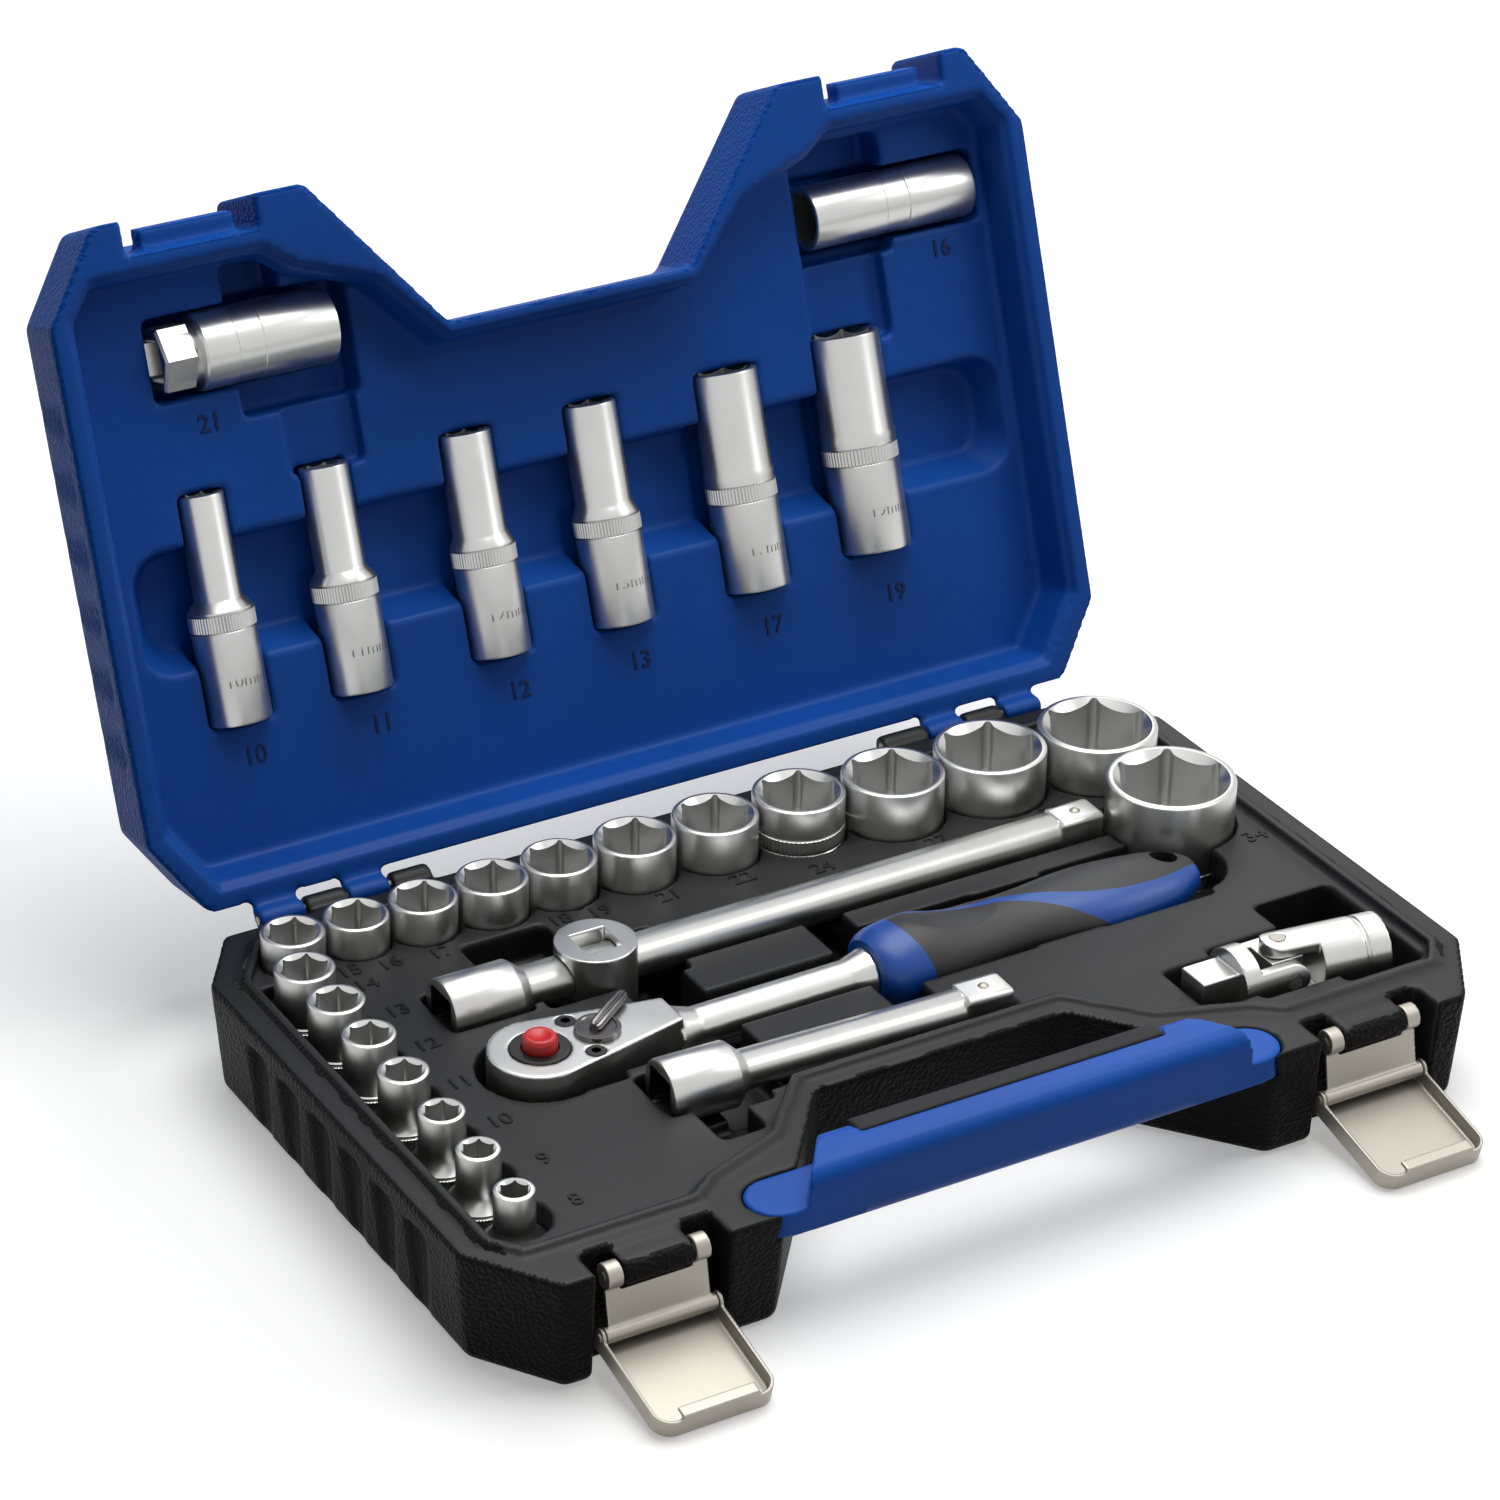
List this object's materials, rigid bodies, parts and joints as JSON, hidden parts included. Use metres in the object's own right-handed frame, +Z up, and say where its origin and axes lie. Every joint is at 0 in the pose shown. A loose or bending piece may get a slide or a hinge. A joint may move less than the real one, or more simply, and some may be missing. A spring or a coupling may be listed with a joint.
{
  "type": "socket wrench set in case",
  "caption": "Open moulded case with a socket set: short, deep and spark plug sockets, extension bars, sliding adapter, universal joint and a reversible ratchet, with two over-centre latches.",
  "frame": {"origin": "on the table under the middle of the case, on the flat bottom of the base", "axes": "X to the right along the case, Y from the handle to the hinge, Z up"},
  "size_m": [0.3694, 0.3798, 0.2578],
  "materials": {
    "black_plastic": "fine grain",
    "blue_plastic": "satin grain",
    "soft_black": "soft matt",
    "chrome": "satin plated",
    "steel": "plated sheet and wire",
    "dark_steel": "black coat",
    "red_plastic": "smooth"
  },
  "bodies": {
    "base": {"base_shell": "black_plastic", "hinge_pins": "steel", "carry_handle": "blue_plastic", "handle_grip": "soft_black", "latch_pivot_pins": "steel"},
    "lid": {"lid_shell": "blue_plastic"},
    "left_link": {"left_latch_link": "steel", "left_link_pin": "steel"},
    "left_lever": {"left_latch_lever": "steel"},
    "right_link": {"right_latch_link": "steel", "right_link_pin": "steel"},
    "right_lever": {"right_latch_lever": "steel"},
    "socket_08_body": {"socket_08": "chrome"},
    "socket_09_body": {"socket_09": "chrome"},
    "socket_10_body": {"socket_10": "chrome"},
    "socket_11_body": {"socket_11": "chrome"},
    "socket_12_body": {"socket_12": "chrome"},
    "socket_13_body": {"socket_13": "chrome"},
    "socket_14_body": {"socket_14": "chrome"},
    "socket_15_body": {"socket_15": "chrome"},
    "socket_16_body": {"socket_16": "chrome"},
    "socket_17_body": {"socket_17": "chrome"},
    "socket_18_body": {"socket_18": "chrome"},
    "socket_19_body": {"socket_19": "chrome"},
    "socket_21_body": {"socket_21": "chrome"},
    "socket_22_body": {"socket_22": "chrome"},
    "socket_24_body": {"socket_24": "chrome"},
    "socket_27_body": {"socket_27": "chrome"},
    "socket_30_body": {"socket_30": "chrome"},
    "socket_32_body": {"socket_32": "chrome"},
    "socket_34_body": {"socket_34": "chrome"},
    "long_bar": {"long_extension": "chrome"},
    "short_bar": {"short_extension": "chrome"},
    "ratchet": {"ratchet_body": "chrome", "head_screws": "dark_steel", "button_ring": "dark_steel", "ratchet_handle": "blue_plastic", "ratchet_grip": "soft_black"},
    "joint_drive": {"joint_drive_yoke": "chrome"},
    "deep_10_body": {"deep_socket_10": "chrome"},
    "deep_11_body": {"deep_socket_11": "chrome"},
    "deep_12_body": {"deep_socket_12": "chrome"},
    "deep_13_body": {"deep_socket_13": "chrome"},
    "deep_17_body": {"deep_socket_17": "chrome"},
    "deep_19_body": {"deep_socket_19": "chrome"},
    "spark_16_body": {"spark_socket_16": "chrome", "spark_insert_16": "soft_black"},
    "spark_21_body": {"spark_socket_21": "chrome", "spark_insert_21": "soft_black"},
    "long_ball": {"long_extension_ball": "steel"},
    "short_ball": {"short_extension_ball": "steel"},
    "adapter": {"bar_adapter": "chrome"},
    "drive": {"drive_gear": "chrome"},
    "drive_detent": {"drive_ball": "steel"},
    "button": {"release_button": "red_plastic"},
    "selector": {"reversing_lever": "dark_steel"},
    "pawl": {"ratchet_pawl": "steel"},
    "joint_cross": {"joint_block": "chrome", "joint_pins": "steel"},
    "joint_driven": {"joint_socket_yoke": "chrome"}
  },
  "joints": [
    {"name": "lid_hinge", "type": "hinge", "parent": "base", "child": "lid", "pos_m": [0, 0.12, 0.0378], "axis": [-1, 0, 0], "range_deg": [-109.3, 0]},
    {"name": "left_link_hinge", "type": "hinge", "parent": "base", "child": "left_link", "pos_m": [-0.131, -0.1077, 0.0342], "axis": [-1, 0, 0], "range_deg": [-10.3, 40]},
    {"name": "left_lever_hinge", "type": "hinge", "parent": "left_link", "child": "left_lever", "pos_m": [-0.131, -0.11112, 0.01541], "axis": [1, 0, 0], "range_deg": [-114, 20]},
    {"name": "right_link_hinge", "type": "hinge", "parent": "base", "child": "right_link", "pos_m": [0.131, -0.1077, 0.0342], "axis": [-1, 0, 0], "range_deg": [-10.3, 40]},
    {"name": "right_lever_hinge", "type": "hinge", "parent": "right_link", "child": "right_lever", "pos_m": [0.131, -0.11112, 0.01541], "axis": [1, 0, 0], "range_deg": [-114, 20]},
    {"name": "socket_08_body_lift", "type": "slide", "parent": "base", "child": "socket_08_body", "axis": [0, 0, 1], "range_m": [0, 0.045]},
    {"name": "socket_09_body_lift", "type": "slide", "parent": "base", "child": "socket_09_body", "axis": [0, 0, 1], "range_m": [0, 0.045]},
    {"name": "socket_10_body_lift", "type": "slide", "parent": "base", "child": "socket_10_body", "axis": [0, 0, 1], "range_m": [0, 0.045]},
    {"name": "socket_11_body_lift", "type": "slide", "parent": "base", "child": "socket_11_body", "axis": [0, 0, 1], "range_m": [0, 0.045]},
    {"name": "socket_12_body_lift", "type": "slide", "parent": "base", "child": "socket_12_body", "axis": [0, 0, 1], "range_m": [0, 0.045]},
    {"name": "socket_13_body_lift", "type": "slide", "parent": "base", "child": "socket_13_body", "axis": [0, 0, 1], "range_m": [0, 0.045]},
    {"name": "socket_14_body_lift", "type": "slide", "parent": "base", "child": "socket_14_body", "axis": [0, 0, 1], "range_m": [0, 0.045]},
    {"name": "socket_15_body_lift", "type": "slide", "parent": "base", "child": "socket_15_body", "axis": [0, 0, 1], "range_m": [0, 0.045]},
    {"name": "socket_16_body_lift", "type": "slide", "parent": "base", "child": "socket_16_body", "axis": [0, 0, 1], "range_m": [0, 0.045]},
    {"name": "socket_17_body_lift", "type": "slide", "parent": "base", "child": "socket_17_body", "axis": [0, 0, 1], "range_m": [0, 0.045]},
    {"name": "socket_18_body_lift", "type": "slide", "parent": "base", "child": "socket_18_body", "axis": [0, 0, 1], "range_m": [0, 0.045]},
    {"name": "socket_19_body_lift", "type": "slide", "parent": "base", "child": "socket_19_body", "axis": [0, 0, 1], "range_m": [0, 0.045]},
    {"name": "socket_21_body_lift", "type": "slide", "parent": "base", "child": "socket_21_body", "axis": [0, 0, 1], "range_m": [0, 0.045]},
    {"name": "socket_22_body_lift", "type": "slide", "parent": "base", "child": "socket_22_body", "axis": [0, 0, 1], "range_m": [0, 0.045]},
    {"name": "socket_24_body_lift", "type": "slide", "parent": "base", "child": "socket_24_body", "axis": [0, 0, 1], "range_m": [0, 0.045]},
    {"name": "socket_27_body_lift", "type": "slide", "parent": "base", "child": "socket_27_body", "axis": [0, 0, 1], "range_m": [0, 0.045]},
    {"name": "socket_30_body_lift", "type": "slide", "parent": "base", "child": "socket_30_body", "axis": [0, 0, 1], "range_m": [0, 0.045]},
    {"name": "socket_32_body_lift", "type": "slide", "parent": "base", "child": "socket_32_body", "axis": [0, 0, 1], "range_m": [0, 0.045]},
    {"name": "socket_34_body_lift", "type": "slide", "parent": "base", "child": "socket_34_body", "axis": [0, 0, 1], "range_m": [0, 0.045]},
    {"name": "long_bar_lift", "type": "slide", "parent": "base", "child": "long_bar", "axis": [0, 0, 1], "range_m": [0, 0.045]},
    {"name": "short_bar_lift", "type": "slide", "parent": "base", "child": "short_bar", "axis": [0, 0, 1], "range_m": [0, 0.045]},
    {"name": "ratchet_lift", "type": "slide", "parent": "base", "child": "ratchet", "axis": [0, 0, 1], "range_m": [0, 0.045]},
    {"name": "joint_drive_lift", "type": "slide", "parent": "base", "child": "joint_drive", "axis": [0, 0, 1], "range_m": [0, 0.045]},
    {"name": "deep_10_body_lift", "type": "slide", "parent": "lid", "child": "deep_10_body", "axis": [0, -0.9438, 0.3305], "range_m": [0, 0.03]},
    {"name": "deep_11_body_lift", "type": "slide", "parent": "lid", "child": "deep_11_body", "axis": [0, -0.9438, 0.3305], "range_m": [0, 0.03]},
    {"name": "deep_12_body_lift", "type": "slide", "parent": "lid", "child": "deep_12_body", "axis": [0, -0.9438, 0.3305], "range_m": [0, 0.03]},
    {"name": "deep_13_body_lift", "type": "slide", "parent": "lid", "child": "deep_13_body", "axis": [0, -0.9438, 0.3305], "range_m": [0, 0.03]},
    {"name": "deep_17_body_lift", "type": "slide", "parent": "lid", "child": "deep_17_body", "axis": [0, -0.9438, 0.3305], "range_m": [0, 0.03]},
    {"name": "deep_19_body_lift", "type": "slide", "parent": "lid", "child": "deep_19_body", "axis": [0, -0.9438, 0.3305], "range_m": [0, 0.03]},
    {"name": "spark_16_body_lift", "type": "slide", "parent": "lid", "child": "spark_16_body", "axis": [0, -0.9438, 0.3305], "range_m": [0, 0.03]},
    {"name": "spark_21_body_lift", "type": "slide", "parent": "lid", "child": "spark_21_body", "axis": [0, -0.9438, 0.3305], "range_m": [0, 0.03]},
    {"name": "long_ball_detent", "type": "slide", "parent": "long_bar", "child": "long_ball", "axis": [0, 0, 1], "range_m": [-0.0009, 0], "stiffness_N_per_m": 300},
    {"name": "short_ball_detent", "type": "slide", "parent": "short_bar", "child": "short_ball", "axis": [0, 0, 1], "range_m": [-0.0009, 0], "stiffness_N_per_m": 300},
    {"name": "adapter_slide", "type": "slide", "parent": "long_bar", "child": "adapter", "axis": [1, 0, 0], "range_m": [-0.008, 0.012]},
    {"name": "drive_spin", "type": "hinge", "parent": "ratchet", "child": "drive", "pos_m": [-0.1134, -0.0034, 0.03], "axis": [0, 0, 1], "continuous": true},
    {"name": "button_press", "type": "slide", "parent": "drive", "child": "button", "axis": [0, 0, 1], "range_m": [-0.0025, 0], "stiffness_N_per_m": 400},
    {"name": "drive_detent_slide", "type": "slide", "parent": "drive", "child": "drive_detent", "axis": [0.0122, -0.9999, 0], "range_m": [-0.0009, 0]},
    {"name": "selector_turn", "type": "hinge", "parent": "ratchet", "child": "selector", "pos_m": [-0.0927, -0.00315, 0.046], "axis": [0, 0, 1], "range_deg": [-72, 0]},
    {"name": "pawl_rock", "type": "hinge", "parent": "ratchet", "child": "pawl", "pos_m": [-0.0927, -0.00315, 0.035], "axis": [0, 0, 1], "range_deg": [-3.6, 0]},
    {"name": "joint_swing_up", "type": "hinge", "parent": "joint_drive", "child": "joint_cross", "pos_m": [0.124, -0.066, 0.037], "axis": [0, -1, 0], "range_deg": [0, 45]},
    {"name": "joint_swing_side", "type": "hinge", "parent": "joint_cross", "child": "joint_driven", "pos_m": [0.124, -0.066, 0.037], "axis": [0, 0, 1], "range_deg": [-2, 18]}
  ],
  "couplings": [
    {"joint": "pawl_rock", "follows": "selector_turn", "ratio": 0.05},
    {"joint": "drive_detent_slide", "follows": "button_press", "ratio": 0.36}
  ]
}
